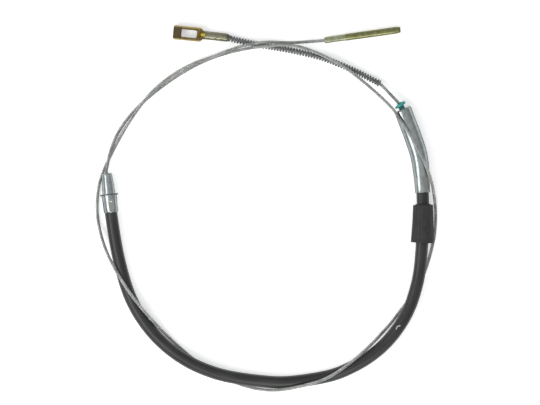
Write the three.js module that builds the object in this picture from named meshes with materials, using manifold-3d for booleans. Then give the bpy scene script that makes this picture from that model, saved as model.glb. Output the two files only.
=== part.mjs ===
// A parking brake cable: one steel wire rope with a threaded rod at the front and a slotted eye at
// the rear, led through a short armoured conduit with a metal ferrule and a bent guide tube at its ends.
// The cable lies flat, wound once and a third round. Units are millimetres, +Z is up and the cable
// rests on z = 0. Every piece is made straight, along its own z axis, and then laid on the route.

import * as THREE from 'three';
import { mergeVertices } from 'three/addons/utils/BufferGeometryUtils.js';
import Module from 'manifold-3d';

const wasm = await Module();
wasm.setup();

// Clearances
const seatGap = 0.3; // between a piece and the shoulder or socket floor that it stops at
const layerGap = 0.3; // between the layers of the conduit, and round the rope in its two sockets
const crimpGap = 0.25; // between the jacket and the metal or rubber round it
const ropeClearance = 0.5; // between the rope and the walls that only guide it
const joinOverlap = 1; // how far shapes run into each other where they are joined or cut

// Wire rope
const ropeDiameter = 2.4;
const ropeSides = 8;
const ropeSteps = 220;

// Threaded rod
const rodLength = 57.5;
const threadDiameter = 5.2;
const rodTipDiameter = 3.9;
const rodTipLength = 3.6;
const rodCrimpLength = 17;
const rodCrimpAcrossFlats = 4.4;
const rodCrimpChamfer = 0.7;
const rodSocketDepth = 15.5;

// Conduit, from the inside out
const linerWall = 0.5;
const armourWall = 0.8;
const jacketWall = 1.1;
const conduitLength = 434;
const conduitSteps = 36;
const linerSides = 8;
const conduitSides = 12;

// Front ferrule
const ferrulePoint = 58; // the route's point at which its mouth lies, counted from 0
const ferruleNoseLength = 15.5;
const ferruleMouthDiameter = 7.8;
const ferruleNoseDiameter = 9.8;
const ferruleMouthChamfer = 0.5;
const ferruleMouthRim = 0.6; // flat ring inside the chamfer
const ferruleFlare = 3; // length of the bell mouth inside the nose
const flangeDiameter = 13.4;
const flangeThickness = 1.1;
const barrelLength = 12.8;
const barrelDiameter = 11.5;
const barrelTaper = 0.3; // how much less its radius is at the crimped end
const barrelEndRound = 1;
const barrelEndWall = 0.15;
const ferruleFlatLength = 7.9;
const ferruleFlatTurn = -11; // degrees, seen along the cable
const ferruleFlatDepth = 0.35;

// Rear guide tube
const guideTubeLength = 65;
const guideTubeDiameter = 13.2;
const guideTubeWall = 0.9;
const guideTubeEndWall = 1.2;
const guideTubeShoulder = 1.8; // radius of the rolled shoulder at the mouth
const guideTubeTaperLength = 34;
const guideTubeSeat = 12; // how far the conduit goes into it
const tubeCrimpWall = 0.54; // wall at the crimped end
const tubeLip = 0.8;
const tubeLipHeight = 0.15;
const tubeLipFade = 0.48;
const tubeConeLength = 9.6; // crimped part, which widens slowly
const tubeConeWidening = 0.4;
const tubeHalfwayShare = 0.7; // of the rest of the widening, halfway up the taper
const tubeFlatLength = 10;
const tubeFlatDepth = 0.4;
const tubeFlatTurn = 28; // degrees, seen along the cable

// Rear seal
const sealNeckDiameter = 4.6;
const sealBeadDiameter = 5.8;
const sealBeadLength = 1.8;
const sealDiscDiameter = 8.8;
const sealDiscThickness = 1.9;
const sealDiscOffset = 2.4; // from the mouth of the tube
const sealWall = 0.6;
const sealLip = 0.7;
const sealLipWall = 0.36;
const sealEdge = 0.3;

// Rubber sleeve
const sleeveLength = 28.4;
const sleeveFrontDiameter = 17.2;
const sleeveRearDiameter = 15;
const sleeveEdgeRound = 0.6;
const sleeveToTube = 9.2; // bare conduit between the sleeve and the guide tube
const sleeveLip = 1.1;
const sleeveLipWall = 0.9;

// Return spring
const springDiameter = 5;
const springWire = 0.9;
const springLength = 119;
const springTurns = 56;
const springStepsPerTurn = 8;

// Eye
const eyeLoopLength = 20.5;
const eyeLoopWidth = 10.6;
const eyeThickness = 6;
const eyeEdge = 0.4; // bevel round its faces
const eyeCorner = 1;
const eyeSlotLength = 11.5;
const eyeSlotWidth = 5.7;
const eyeEndWeb = 6.2;
const eyeNeckLength = 4;
const eyeShankLength = 21;
const eyeShankDiameter = 6.2;
const eyeMouthDiameter = 5.6;
const eyeMouthTaper = 2.2;
const eyeSocketDepth = 15;
const eyeWindowLength = 3.6;
const eyeWindowWidth = 2.3;
const eyeWindowDepth = 1.3;

const turnedSides = 20;
const ringSpacing = 4; // between the rings of a long turned piece, so that it can bend

// Centreline of the whole cable, from the free end of the rod to the end of the eye.
const routePoints = [
  [100.6, 134.4, 2.8], [81.5, 131.7, 2.8], [48.5, 127.1, 2.8], [42.9, 126.3, 2.8],
  [17.8, 124.7, 4.2], [2.8, 125.1, 5.6], [-4.7, 124.5, 6.4], [-19.7, 121.7, 6.5],
  [-40.6, 114.0, 4.8], [-55.1, 108.7, 3.9], [-68.8, 101.3, 3.4], [-81.1, 92.0, 3.3],
  [-92.5, 79.9, 3.9], [-108.8, 55.2, 1.8], [-123.9, 23.4, 1.3], [-126.5, 10.2, 1.3],
  [-126.8, -0.9, 1.5], [-125.6, -12.0, 3.0], [-119.4, -33.0, 9.0], [-102.7, -62.6, 11.0],
  [-87.3, -81.7, 8.4], [-77.5, -92.0, 4.6], [-67.1, -101.9, 2.3], [-55.9, -111.5, 1.4],
  [-43.7, -120.5, 1.3], [-30.0, -127.9, 1.3], [-17.3, -132.4, 1.5], [-6.3, -135.1, 3.2],
  [3.9, -136.0, 6.0], [14.2, -135.3, 8.8], [37.4, -130.0, 10.8], [48.9, -125.1, 10.8],
  [70.6, -109.3, 8.9], [91.8, -87.5, 3.0], [101.0, -75.7, 1.4], [110.1, -63.6, 1.3],
  [117.6, -50.3, 1.3], [125.2, -25.1, 1.3], [126.8, -12.0, 1.5], [126.7, 2.1, 3.6],
  [124.4, 17.9, 10.6], [118.9, 34.4, 14.9], [109.6, 52.4, 15.3], [99.7, 67.8, 13.6],
  [94.0, 75.9, 11.5], [70.3, 97.5, 7.1], [52.3, 110.0, 6.5], [26.0, 121.3, 6.6],
  [10.3, 123.0, 7.1], [2.8, 122.1, 6.8], [-12.2, 120.6, 5.6], [-40.3, 113.2, 2.1],
  [-67.4, 99.2, 1.3], [-98.1, 74.5, 1.3], [-111.4, 56.7, 1.4], [-117.1, 42.2, 3.5],
  [-119.3, 31.7, 5.9], [-120.0, 28.2, 6.7], [-119.8, 26.6, 6.8], [-117.9, 10.4, 6.8],
  [-116.8, 0.8, 6.8], [-116.2, -4.8, 6.7], [-111.1, -35.3, 5.4], [-104.0, -61.0, 4.8],
  [-98.0, -74.4, 4.8], [-90.0, -86.9, 5.2], [-80.2, -98.2, 6.1], [-68.7, -108.0, 7.0],
  [-55.8, -116.0, 7.3], [-41.9, -121.9, 7.3], [-27.3, -125.9, 7.2], [2.7, -129.8, 5.9],
  [18.0, -129.8, 5.1], [48.8, -124.8, 4.8], [63.5, -119.0, 4.8], [77.3, -111.0, 5.3],
  [89.5, -100.7, 6.2], [99.5, -88.4, 7.0], [107.2, -74.6, 7.4], [112.2, -59.8, 7.5],
  [114.9, -47.0, 7.7], [117.1, -20.4, 8.7], [117.4, 6.6, 8.3], [114.8, 38.1, 7.4],
  [110.0, 53.9, 7.0], [107.2, 61.4, 6.9], [104.3, 68.9, 6.8], [101.8, 75.4, 6.7],
  [99.8, 78.6, 6.6], [92.4, 86.6, 5.2], [85.0, 93.9, 3.0], [77.8, 97.7, 2.6],
  [68.8, 102.3, 2.6], [47.8, 111.2, 2.6], [36.5, 114.8, 2.6], [14.0, 119.7, 2.6],
  [-8.5, 123.6, 2.6], [-25.0, 127.2, 2.8], [-29.9, 128.4, 3.1], [-36.2, 129.2, 3.1],
  [-46.0, 130.2, 3.1], [-57.2, 131.3, 3.1], [-69.8, 132.6, 3.1],
];

const route = new THREE.CatmullRomCurve3(
  routePoints.map(([x, y, z]) => new THREE.Vector3(x, y, z)), false, 'centripetal');
route.arcLengthDivisions = 4000;
const routeLength = route.getLength();

// How far along the route one of its points lies.
function stationOf(point) {
  const lengths = route.getLengths();
  const place = (point / (routePoints.length - 1)) * (lengths.length - 1);
  const before = Math.floor(place);
  return THREE.MathUtils.lerp(lengths[before], lengths[before + 1], place - before);
}

// Radii and stations that follow from the sizes above. A station is a distance along the route.
const ropeRadius = ropeDiameter / 2;
const guideBore = ropeRadius + ropeClearance;
const socketBore = ropeRadius + layerGap;
const linerRadius = guideBore + linerWall;
const armourBore = linerRadius + layerGap;
const armourRadius = armourBore + armourWall;
const jacketBore = armourRadius + layerGap;
const jacketRadius = jacketBore + jacketWall;
const jacketSeat = jacketRadius + crimpGap;

const ropeStart = rodLength - rodSocketDepth + seatGap;
const ferruleShoulder = ferruleNoseLength + flangeThickness;
const ferruleLength = ferruleShoulder + barrelLength;
const ferruleStation = stationOf(ferrulePoint);
const conduitStart = ferruleStation + ferruleShoulder + seatGap;
const guideTubeStation = conduitStart + conduitLength - guideTubeSeat;
const guideTubeMouth = guideTubeStation + guideTubeLength;
const sleeveStation = guideTubeStation - sleeveToTube - sleeveLength;
const eyeStation = routeLength - eyeLoopLength - eyeShankLength;
const springStation = eyeStation - seatGap - springLength;
const ropeEnd = eyeStation + eyeSocketDepth - seatGap;

// A piece of the route between two stations, to extrude along.
class Stretch extends THREE.Curve {
  constructor(from, to) {
    super();
    this.from = from;
    this.to = to;
  }

  getPoint(t, target = new THREE.Vector3()) {
    const station = THREE.MathUtils.lerp(this.from, this.to, t);
    return route.getPointAt(station / routeLength, target);
  }
}

// A coil round the z axis, from z = 0 up.
class Coil extends THREE.Curve {
  constructor(radius, turns, height) {
    super();
    this.radius = radius;
    this.turns = turns;
    this.height = height;
  }

  getPoint(t, target = new THREE.Vector3()) {
    const angle = 2 * Math.PI * this.turns * t;
    return target.set(this.radius * Math.cos(angle), this.radius * Math.sin(angle), this.height * t);
  }
}

// Bends a straight piece along the route: its x goes to the left, its y up and its z along the cable.
function layOnRoute(geometry, station) {
  const up = new THREE.Vector3(0, 0, 1);
  const position = geometry.attributes.position;
  const local = new THREE.Vector3();
  for (let i = 0; i < position.count; i++) {
    local.fromBufferAttribute(position, i);
    const u = THREE.MathUtils.clamp((station + local.z) / routeLength, 0, 1);
    const along = route.getTangentAt(u);
    const left = new THREE.Vector3().crossVectors(up, along).normalize();
    const top = new THREE.Vector3().crossVectors(along, left);
    const past = station + local.z - u * routeLength;
    const point = route.getPointAt(u).addScaledVector(left, local.x).addScaledVector(top, local.y);
    point.addScaledVector(along, past);
    position.setXYZ(i, point.x, point.y, point.z);
  }
  geometry.computeVertexNormals();
  return geometry;
}

// Adds rings to a profile of [radius, z] points, so that its long runs can bend.
function withRings(profile) {
  const points = [];
  profile.forEach(([radius, z], i) => {
    const [nextRadius, nextZ] = profile[Math.min(i + 1, profile.length - 1)];
    const parts = Math.max(1, Math.round(Math.abs(nextZ - z) / ringSpacing));
    for (let part = 0; part < parts; part++) {
      const t = part / parts;
      points.push([THREE.MathUtils.lerp(radius, nextRadius, t), THREE.MathUtils.lerp(z, nextZ, t)]);
    }
  });
  return points;
}

// A turned piece: the profile goes up outside and comes back down inside, or starts and ends on the axis.
function turned(profile, sides = turnedSides) {
  const points = profile.map(([radius, z]) => new THREE.Vector2(radius, z));
  return new THREE.LatheGeometry(points, sides).rotateX(Math.PI / 2);
}

function closed(profile) {
  return [...profile, profile[0]];
}

// A quarter round between two profile directions, without its ends.
function quarter(centreRadius, centreZ, size, fromDegrees, toDegrees, count = 3) {
  const points = [];
  for (let i = 0; i <= count; i++) {
    const angle = THREE.MathUtils.degToRad(THREE.MathUtils.lerp(fromDegrees, toDegrees, i / count));
    points.push([centreRadius + size * Math.cos(angle), centreZ + size * Math.sin(angle)]);
  }
  return points;
}

function polygon(radius, sides) {
  const points = [];
  for (let i = 0; i < sides; i++) {
    const angle = (2 * Math.PI * i) / sides;
    points.push(new THREE.Vector2(radius * Math.cos(angle), radius * Math.sin(angle)));
  }
  return points;
}

function tubeAlong(from, to, steps, radius, bore, sides) {
  const section = new THREE.Shape(polygon(radius, sides));
  if (bore) section.holes.push(new THREE.Path(polygon(bore, sides).reverse()));
  return new THREE.ExtrudeGeometry(section, { steps, extrudePath: new Stretch(from, to) });
}

function toSolid(geometry) {
  const bare = geometry.index ? geometry.toNonIndexed() : geometry.clone();
  bare.deleteAttribute('normal');
  bare.deleteAttribute('uv');
  const merged = mergeVertices(bare, 1e-4);
  const index = merged.index.array;
  const triangles = [];
  for (let i = 0; i < index.length; i += 3) {
    const [a, b, c] = [index[i], index[i + 1], index[i + 2]];
    if (a !== b && b !== c && c !== a) triangles.push(a, b, c);
  }
  return new wasm.Manifold(new wasm.Mesh({
    numProp: 3,
    vertProperties: new Float32Array(merged.attributes.position.array),
    triVerts: new Uint32Array(triangles),
  }));
}

function toGeometry(solid) {
  const { vertProperties, triVerts } = solid.getMesh();
  const geometry = new THREE.BufferGeometry();
  geometry.setAttribute('position', new THREE.BufferAttribute(vertProperties, 3));
  geometry.setIndex(new THREE.BufferAttribute(triVerts, 1));
  geometry.computeVertexNormals();
  return geometry;
}

// Four press marks round a crimped barrel: blocks that stand off the axis by the flat's distance.
function pressMarks(flatDistance, length, start, turnDegrees) {
  const blockHeight = 4;
  const blockWidth = 9;
  const marks = [];
  for (let i = 0; i < 4; i++) {
    const block = new THREE.BoxGeometry(blockWidth, blockHeight, length);
    block.translate(0, flatDistance + blockHeight / 2, start + length / 2);
    block.rotateZ(THREE.MathUtils.degToRad(turnDegrees + 90 * i));
    marks.push(block);
  }
  return marks;
}

function makeThreadedRod() {
  const crimpStart = rodLength - rodCrimpLength;
  const shaft = turned([
    [0, 0], [rodTipDiameter / 2, 0], [threadDiameter / 2, rodTipLength],
    [threadDiameter / 2, crimpStart + joinOverlap], [0, crimpStart + joinOverlap],
  ]);
  const hexRadius = rodCrimpAcrossFlats / 2 / Math.cos(Math.PI / 6);
  const hexagon = new THREE.Shape(polygon(hexRadius, 6));
  const body = rodCrimpLength - 2 * rodCrimpChamfer;
  const crimp = new THREE.ExtrudeGeometry(hexagon, {
    depth: body, bevelThickness: rodCrimpChamfer, bevelSize: rodCrimpChamfer / 2,
    bevelOffset: -rodCrimpChamfer / 2, bevelSegments: 1,
  }).translate(0, 0, crimpStart + rodCrimpChamfer);
  const socket = turned([
    [0, rodLength - rodSocketDepth], [socketBore, rodLength - rodSocketDepth],
    [socketBore, rodLength + joinOverlap], [0, rodLength + joinOverlap],
  ]);
  const rod = toSolid(layOnRoute(shaft, 0))
    .add(toSolid(layOnRoute(crimp, 0)))
    .subtract(toSolid(layOnRoute(socket, 0)));
  return toGeometry(rod);
}

function makeFrontFerrule() {
  const noseRadius = ferruleNoseDiameter / 2;
  const mouthRadius = ferruleMouthDiameter / 2;
  const flangeRadius = flangeDiameter / 2;
  const barrelRadius = barrelDiameter / 2;
  const endRadius = barrelRadius - barrelTaper;
  const bellRadius = mouthRadius - ferruleMouthChamfer - ferruleMouthRim;
  const profile = closed([
    [bellRadius, 0], [mouthRadius - ferruleMouthChamfer, 0], [mouthRadius, ferruleMouthChamfer],
    [noseRadius, ferruleNoseLength], [flangeRadius, ferruleNoseLength], [flangeRadius, ferruleShoulder],
    [barrelRadius, ferruleShoulder], [endRadius, ferruleLength - barrelEndRound],
    [Math.max(endRadius - barrelEndRound / 3, jacketSeat + barrelEndWall), ferruleLength],
    [jacketSeat, ferruleLength], [jacketSeat, ferruleShoulder],
    [guideBore, ferruleShoulder], [guideBore, ferruleFlare],
  ]);
  const flatDistance = endRadius - ferruleFlatDepth + barrelTaper / 2;
  const marks = pressMarks(flatDistance, ferruleFlatLength, ferruleLength - ferruleFlatLength, ferruleFlatTurn);
  const body = marks.reduce(
    (solid, mark) => solid.subtract(toSolid(layOnRoute(mark, ferruleStation))),
    toSolid(layOnRoute(turned(profile), ferruleStation)));
  return toGeometry(body);
}

function makeGuideTube() {
  const radius = guideTubeDiameter / 2;
  const bore = radius - guideTubeWall;
  const seatRadius = jacketSeat + tubeCrimpWall;
  const lipRadius = seatRadius + tubeLipHeight;
  const coneRadius = seatRadius + tubeConeWidening;
  const flatStart = tubeLip + tubeLipFade;
  const shoulderZ = guideTubeLength - guideTubeShoulder;
  const innerEnd = guideTubeLength - guideTubeEndWall;
  const endBore = sealNeckDiameter / 2 + layerGap;
  const profile = closed([
    [jacketSeat, 0], [lipRadius, 0], [lipRadius, tubeLip], [seatRadius, flatStart],
    [coneRadius, tubeConeLength],
    [THREE.MathUtils.lerp(coneRadius, radius, tubeHalfwayShare), (tubeConeLength + guideTubeTaperLength) / 2],
    [radius, guideTubeTaperLength],
    ...quarter(radius - guideTubeShoulder, shoulderZ, guideTubeShoulder, 0, 90),
    [endBore, guideTubeLength], [endBore, innerEnd],
    [bore - guideTubeShoulder / 2, innerEnd], [bore, innerEnd - guideTubeShoulder / 2],
    [bore, guideTubeTaperLength], [jacketSeat, guideTubeSeat + seatGap],
  ]);
  const marks = pressMarks(coneRadius - tubeFlatDepth, tubeFlatLength, flatStart, tubeFlatTurn);
  const body = marks.reduce(
    (solid, mark) => solid.subtract(toSolid(layOnRoute(mark, guideTubeStation))),
    toSolid(layOnRoute(turned(withRings(profile)), guideTubeStation)));
  return toGeometry(body);
}

function makeRearSeal() {
  const bore = ropeRadius + ropeClearance;
  const neckRadius = Math.max(sealNeckDiameter / 2, bore + sealWall);
  const beadEnd = -guideTubeEndWall - layerGap;
  const discEnd = sealDiscOffset + sealDiscThickness;
  const profile = closed([
    [bore, beadEnd - sealBeadLength], [sealBeadDiameter / 2 - sealEdge, beadEnd - sealBeadLength],
    [sealBeadDiameter / 2, beadEnd - sealBeadLength / 3], [sealBeadDiameter / 2, beadEnd],
    [neckRadius, beadEnd],
    [neckRadius, sealDiscOffset], [sealDiscDiameter / 2 - sealEdge, sealDiscOffset],
    [sealDiscDiameter / 2, sealDiscOffset + sealEdge], [sealDiscDiameter / 2, discEnd - sealEdge],
    [sealDiscDiameter / 2 - sealEdge, discEnd], [neckRadius, discEnd],
    [bore + sealLipWall, discEnd + sealLip],
    [bore, discEnd + sealLip],
  ]);
  return layOnRoute(turned(profile), guideTubeMouth);
}

function makeRubberSleeve() {
  const front = sleeveFrontDiameter / 2;
  const rear = sleeveRearDiameter / 2;
  const edge = sleeveEdgeRound;
  const profile = closed([
    [jacketSeat, 0], [front - edge / 3, 0], [front, edge / 2],
    ...quarter(rear - edge, sleeveLength - edge, edge, 0, 90),
    [jacketSeat + sleeveLipWall, sleeveLength], [jacketSeat + sleeveLipWall, sleeveLength + sleeveLip],
    [jacketSeat, sleeveLength + sleeveLip],
  ]);
  return layOnRoute(turned(withRings(profile)), sleeveStation);
}

function makeReturnSpring() {
  const coil = new Coil((springDiameter - springWire) / 2, springTurns, springLength);
  const section = new THREE.Shape(polygon(springWire / 2, 4));
  const wire = new THREE.ExtrudeGeometry(section, {
    steps: springTurns * springStepsPerTurn, extrudePath: coil,
  });
  return layOnRoute(wire, springStation);
}

// Outline of the eye from above: x across, y along the cable, from the end of the neck's flare.
function eyeOutline() {
  const half = eyeLoopWidth / 2 - eyeEdge;
  const neck = eyeShankDiameter / 2 - eyeEdge;
  const corner = eyeCorner;
  const start = eyeShankLength;
  const end = start + eyeLoopLength - eyeEdge;
  const outline = new THREE.Shape();
  outline.moveTo(-neck, start - eyeNeckLength);
  outline.lineTo(neck, start - eyeNeckLength);
  outline.lineTo(half, start);
  outline.lineTo(half, end - corner);
  outline.absarc(half - corner, end - corner, corner, 0, Math.PI / 2, false);
  outline.lineTo(-half + corner, end);
  outline.absarc(-half + corner, end - corner, corner, Math.PI / 2, Math.PI, false);
  outline.lineTo(-half, start);
  outline.closePath();

  const slotHalf = eyeSlotWidth / 2 + eyeEdge;
  const slotEnd = start + eyeLoopLength - eyeEndWeb + eyeEdge;
  const slotStart = start + eyeLoopLength - eyeEndWeb - eyeSlotLength - eyeEdge;
  const slot = new THREE.Path();
  slot.moveTo(-slotHalf, slotStart);
  slot.lineTo(-slotHalf, slotEnd);
  slot.lineTo(slotHalf, slotEnd);
  slot.lineTo(slotHalf, slotStart);
  slot.closePath();
  outline.holes.push(slot);
  return outline;
}

function makeEye() {
  const loop = new THREE.ExtrudeGeometry(eyeOutline(), {
    depth: eyeThickness - 2 * eyeEdge, bevelThickness: eyeEdge, bevelSize: eyeEdge,
    bevelSegments: 1, curveSegments: 4,
  });
  loop.rotateX(Math.PI / 2).translate(0, eyeThickness / 2 - eyeEdge, 0);
  const shankRadius = eyeShankDiameter / 2;
  const shank = turned([
    [0, 0], [eyeMouthDiameter / 2, 0], [shankRadius, eyeMouthTaper],
    [shankRadius, eyeShankLength], [0, eyeShankLength],
  ]);
  const socket = turned([
    [0, -joinOverlap], [socketBore, -joinOverlap], [socketBore, eyeSocketDepth], [0, eyeSocketDepth],
  ]);
  const window = new THREE.BoxGeometry(eyeWindowWidth, eyeWindowDepth + joinOverlap, eyeWindowLength);
  const windowMiddle = (eyeThickness - eyeWindowDepth + joinOverlap) / 2;
  window.translate(0, windowMiddle, eyeShankLength - eyeWindowLength / 2);
  const eye = toSolid(layOnRoute(loop, eyeStation))
    .add(toSolid(layOnRoute(shank, eyeStation)))
    .subtract(toSolid(layOnRoute(socket, eyeStation)))
    .subtract(toSolid(layOnRoute(window, eyeStation)));
  return toGeometry(eye);
}

const materials = {
  ropeSteel: { color: 0xa9aba8, roughness: 0.42, metalness: 0.9 },
  yellowChromate: { color: 0x7a6c34, roughness: 0.38, metalness: 0.85 },
  zinc: { color: 0x9aa4a6, roughness: 0.35, metalness: 0.9 },
  springSteel: { color: 0x2b2d2e, roughness: 0.5, metalness: 0.8 },
  armourSteel: { color: 0x8c8f90, roughness: 0.5, metalness: 0.8 },
  blackPlastic: { color: 0x222422, roughness: 0.42, metalness: 0 },
  rubber: { color: 0x161716, roughness: 0.8, metalness: 0 },
  linerPlastic: { color: 0xd8d8d0, roughness: 0.5, metalness: 0 },
  tealPlastic: { color: 0x1f7f72, roughness: 0.4, metalness: 0 },
};

const cable = new THREE.Group();
const conduitEnd = conduitStart + conduitLength;
const conduitLayer = (radius, bore, sides) =>
  tubeAlong(conduitStart, conduitEnd, conduitSteps, radius, bore, sides);

const pieces = [
  ['inner_wire_rope', tubeAlong(ropeStart, ropeEnd, ropeSteps, ropeRadius, 0, ropeSides), 'ropeSteel'],
  ['threaded_rod_end', makeThreadedRod(), 'yellowChromate'],
  ['conduit_liner', conduitLayer(linerRadius, guideBore, linerSides), 'linerPlastic'],
  ['conduit_armour', conduitLayer(armourRadius, armourBore, conduitSides), 'armourSteel'],
  ['conduit_jacket', conduitLayer(jacketRadius, jacketBore, conduitSides), 'blackPlastic'],
  ['front_ferrule', makeFrontFerrule(), 'zinc'],
  ['rubber_sleeve', makeRubberSleeve(), 'rubber'],
  ['rear_guide_tube', makeGuideTube(), 'zinc'],
  ['rear_seal', makeRearSeal(), 'tealPlastic'],
  ['return_spring', makeReturnSpring(), 'springSteel'],
  ['eye_end', makeEye(), 'yellowChromate'],
];

for (const [name, geometry, finish] of pieces) {
  const mesh = new THREE.Mesh(geometry, new THREE.MeshStandardMaterial(materials[finish]));
  mesh.name = name;
  cable.add(mesh);
}

export default cable;
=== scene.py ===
import math

import bmesh
import bpy
import numpy as np
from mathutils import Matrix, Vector


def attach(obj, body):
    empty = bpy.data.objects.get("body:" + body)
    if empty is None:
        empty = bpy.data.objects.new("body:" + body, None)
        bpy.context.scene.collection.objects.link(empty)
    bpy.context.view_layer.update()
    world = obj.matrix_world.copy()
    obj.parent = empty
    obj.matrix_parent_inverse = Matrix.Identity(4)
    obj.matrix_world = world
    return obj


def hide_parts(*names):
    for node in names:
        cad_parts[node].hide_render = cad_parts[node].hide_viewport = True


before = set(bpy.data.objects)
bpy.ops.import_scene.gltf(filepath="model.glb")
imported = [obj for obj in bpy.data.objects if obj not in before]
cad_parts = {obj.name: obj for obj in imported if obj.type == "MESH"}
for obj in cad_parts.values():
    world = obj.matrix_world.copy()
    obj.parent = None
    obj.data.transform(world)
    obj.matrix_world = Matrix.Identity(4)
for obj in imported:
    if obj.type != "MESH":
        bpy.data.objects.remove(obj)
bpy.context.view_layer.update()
mm = 0.001


studio = {
    "viewCentre": (0.002775, 0.00477),
    "viewWidth": 0.405,
    "floorColour": (0.95, 0.95, 0.95),
    "floorGlow": 0.4,
    "skyLow": (0.27, 0.275, 0.28),
    "skyHigh": (0.71, 0.72, 0.73),
    "lamps": {
        "sideLamp": {"place": (-0.8, -0.32, 0.95), "size": (1.0, 0.45), "energy": 7},
        "frontLamp": {"place": (0.15, -1.0, 0.75), "size": (0.7, 0.22), "energy": 5},
    },
}


def makeCamera():
    camera = bpy.data.objects.new("camera", bpy.data.cameras.new("camera"))
    bpy.context.scene.collection.objects.link(camera)
    camera.data.type = "ORTHO"
    camera.data.ortho_scale = studio["viewWidth"]
    camera.location = (*studio["viewCentre"], 1.2)
    bpy.context.scene.camera = camera


makeCamera()
bpy.context.scene.view_settings.view_transform = "Standard"


routePoints = [
    (0.1006, 0.1344, 0.0028), (0.0815, 0.1317, 0.0028), (0.0485, 0.1271, 0.0028),
    (0.0429, 0.1263, 0.0028), (0.0178, 0.1247, 0.0042), (0.0028, 0.1251, 0.0056),
    (-0.0047, 0.1245, 0.0064), (-0.0197, 0.1217, 0.0065), (-0.0406, 0.1140, 0.0048),
    (-0.0551, 0.1087, 0.0039), (-0.0688, 0.1013, 0.0034), (-0.0811, 0.0920, 0.0033),
    (-0.0925, 0.0799, 0.0039), (-0.1088, 0.0552, 0.0018), (-0.1239, 0.0234, 0.0013),
    (-0.1265, 0.0102, 0.0013), (-0.1268, -0.0009, 0.0015), (-0.1256, -0.0120, 0.0030),
    (-0.1194, -0.0330, 0.0090), (-0.1027, -0.0626, 0.0110), (-0.0873, -0.0817, 0.0084),
    (-0.0775, -0.0920, 0.0046), (-0.0671, -0.1019, 0.0023), (-0.0559, -0.1115, 0.0014),
    (-0.0437, -0.1205, 0.0013), (-0.0300, -0.1279, 0.0013), (-0.0173, -0.1324, 0.0015),
    (-0.0063, -0.1351, 0.0032), (0.0039, -0.1360, 0.0060), (0.0142, -0.1353, 0.0088),
    (0.0374, -0.1300, 0.0108), (0.0489, -0.1251, 0.0108), (0.0706, -0.1093, 0.0089),
    (0.0918, -0.0875, 0.0030), (0.1010, -0.0757, 0.0014), (0.1101, -0.0636, 0.0013),
    (0.1176, -0.0503, 0.0013), (0.1252, -0.0251, 0.0013), (0.1268, -0.0120, 0.0015),
    (0.1267, 0.0021, 0.0036), (0.1244, 0.0179, 0.0106), (0.1189, 0.0344, 0.0149),
    (0.1096, 0.0524, 0.0153), (0.0997, 0.0678, 0.0136), (0.0940, 0.0759, 0.0115),
    (0.0703, 0.0975, 0.0071), (0.0523, 0.1100, 0.0065), (0.0260, 0.1213, 0.0066),
    (0.0103, 0.1230, 0.0071), (0.0028, 0.1221, 0.0068), (-0.0122, 0.1206, 0.0056),
    (-0.0403, 0.1132, 0.0021), (-0.0674, 0.0992, 0.0013), (-0.0981, 0.0745, 0.0013),
    (-0.1114, 0.0567, 0.0014), (-0.1171, 0.0422, 0.0035), (-0.1193, 0.0317, 0.0059),
    (-0.1200, 0.0282, 0.0067), (-0.1198, 0.0266, 0.0068), (-0.1179, 0.0104, 0.0068),
    (-0.1168, 0.0008, 0.0068), (-0.1162, -0.0048, 0.0067), (-0.1111, -0.0353, 0.0054),
    (-0.1040, -0.0610, 0.0048), (-0.0980, -0.0744, 0.0048), (-0.0900, -0.0869, 0.0052),
    (-0.0802, -0.0982, 0.0061), (-0.0687, -0.1080, 0.0070), (-0.0558, -0.1160, 0.0073),
    (-0.0419, -0.1219, 0.0073), (-0.0273, -0.1259, 0.0072), (0.0027, -0.1298, 0.0059),
    (0.0180, -0.1298, 0.0051), (0.0488, -0.1248, 0.0048), (0.0635, -0.1190, 0.0048),
    (0.0773, -0.1110, 0.0053), (0.0895, -0.1007, 0.0062), (0.0995, -0.0884, 0.0070),
    (0.1072, -0.0746, 0.0074), (0.1122, -0.0598, 0.0075), (0.1149, -0.0470, 0.0077),
    (0.1171, -0.0204, 0.0087), (0.1174, 0.0066, 0.0083), (0.1148, 0.0381, 0.0074),
    (0.1100, 0.0539, 0.0070), (0.1072, 0.0614, 0.0069), (0.1043, 0.0689, 0.0068),
    (0.1018, 0.0754, 0.0067), (0.0998, 0.0786, 0.0066), (0.0924, 0.0866, 0.0052),
    (0.0850, 0.0939, 0.0030), (0.0778, 0.0977, 0.0026), (0.0688, 0.1023, 0.0026),
    (0.0478, 0.1112, 0.0026), (0.0365, 0.1148, 0.0026), (0.0140, 0.1197, 0.0026),
    (-0.0085, 0.1236, 0.0026), (-0.0250, 0.1272, 0.0028), (-0.0299, 0.1284, 0.0031),
    (-0.0362, 0.1292, 0.0031), (-0.0460, 0.1302, 0.0031), (-0.0572, 0.1313, 0.0031),
    (-0.0698, 0.1326, 0.0031),
]


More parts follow.
